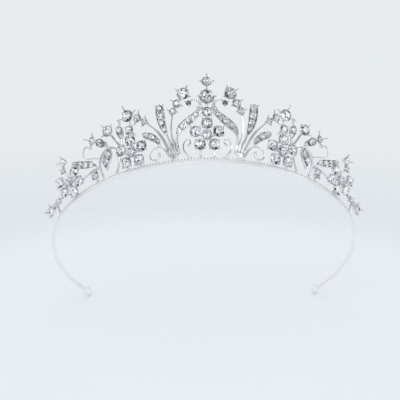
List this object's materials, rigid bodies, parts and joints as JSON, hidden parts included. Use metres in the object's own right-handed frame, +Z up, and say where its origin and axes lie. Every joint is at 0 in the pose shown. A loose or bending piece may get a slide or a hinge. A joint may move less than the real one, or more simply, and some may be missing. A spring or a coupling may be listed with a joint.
{
  "type": "bridal tiara",
  "caption": "Silver-plated floral bridal tiara: claw-set stones, scrolls and flowers on a beaded rail and a sprung open head band.",
  "frame": {"origin": "centre of the head band's circle, at the middle of the strip's width", "axes": "+X to the right across the band, +Z up, the front faces -Y, as worn or shown: the band's plane slopes 49 degrees, front high, ends low at the back"},
  "size_m": [0.136, 0.0723, 0.1134],
  "materials": {
    "cast_silver": "bright silver plating on floral castings",
    "band_silver": "smooth silver plating on the sprung strip",
    "crystal": "clear faceted stones"
  },
  "bodies": {
    "tiara": {"base_rail": "cast_silver", "centre_flower": "cast_silver", "centre_flower_stones": "crystal", "centre_spire": "cast_silver", "centre_spire_stones": "crystal", "end_flower_left": "cast_silver", "end_flower_right": "cast_silver", "end_flower_stones_left": "crystal", "end_flower_stones_right": "crystal", "fern_spray_left": "cast_silver", "fern_spray_right": "cast_silver", "fern_spray_stones_left": "crystal", "fern_spray_stones_right": "crystal", "hanging_leaf_left": "cast_silver", "hanging_leaf_right": "cast_silver", "hanging_leaf_stones_left": "crystal", "hanging_leaf_stones_right": "crystal", "headband_front": "band_silver", "heart_scroll_left": "cast_silver", "heart_scroll_right": "cast_silver", "heart_scroll_stones_left": "crystal", "heart_scroll_stones_right": "crystal", "inner_trail_left": "cast_silver", "inner_trail_right": "cast_silver", "inner_trail_stones_left": "crystal", "inner_trail_stones_right": "crystal", "inner_volute_left": "cast_silver", "inner_volute_right": "cast_silver", "outer_leaf_left": "cast_silver", "outer_leaf_right": "cast_silver", "outer_leaf_stones_left": "crystal", "outer_leaf_stones_right": "crystal", "outer_trail_left": "cast_silver", "outer_trail_right": "cast_silver", "outer_trail_stones_left": "crystal", "outer_trail_stones_right": "crystal", "outer_volute_left": "cast_silver", "outer_volute_right": "cast_silver", "side_flower_left": "cast_silver", "side_flower_right": "cast_silver", "side_flower_stones_left": "crystal", "side_flower_stones_right": "crystal", "side_leaf_left": "cast_silver", "side_leaf_right": "cast_silver", "side_leaf_stones_left": "crystal", "side_leaf_stones_right": "crystal", "spray_root_left": "cast_silver", "spray_root_right": "cast_silver", "upright_leaf_left": "cast_silver", "upright_leaf_right": "cast_silver", "upright_leaf_stones_left": "crystal", "upright_leaf_stones_right": "crystal", "wing_spray_left": "cast_silver", "wing_spray_right": "cast_silver", "wing_spray_stones_left": "crystal", "wing_spray_stones_right": "crystal"},
    "left_arm": {"headband_arm_left": "band_silver", "end_loop_left": "band_silver"},
    "right_arm": {"headband_arm_right": "band_silver", "end_loop_right": "band_silver"}
  },
  "joints": [
    {"name": "left_arm_flex", "type": "hinge", "parent": "tiara", "child": "left_arm", "pos_m": [-0.06532, -0.00979, 0.01127], "axis": [0, 0.7547, 0.6561], "range_deg": [-4, 10], "stiffness_Nm_per_rad": 0.15},
    {"name": "right_arm_flex", "type": "hinge", "parent": "tiara", "child": "right_arm", "pos_m": [0.06532, -0.00979, 0.01127], "axis": [0, -0.7547, -0.6561], "range_deg": [-4, 10], "stiffness_Nm_per_rad": 0.15}
  ]
}
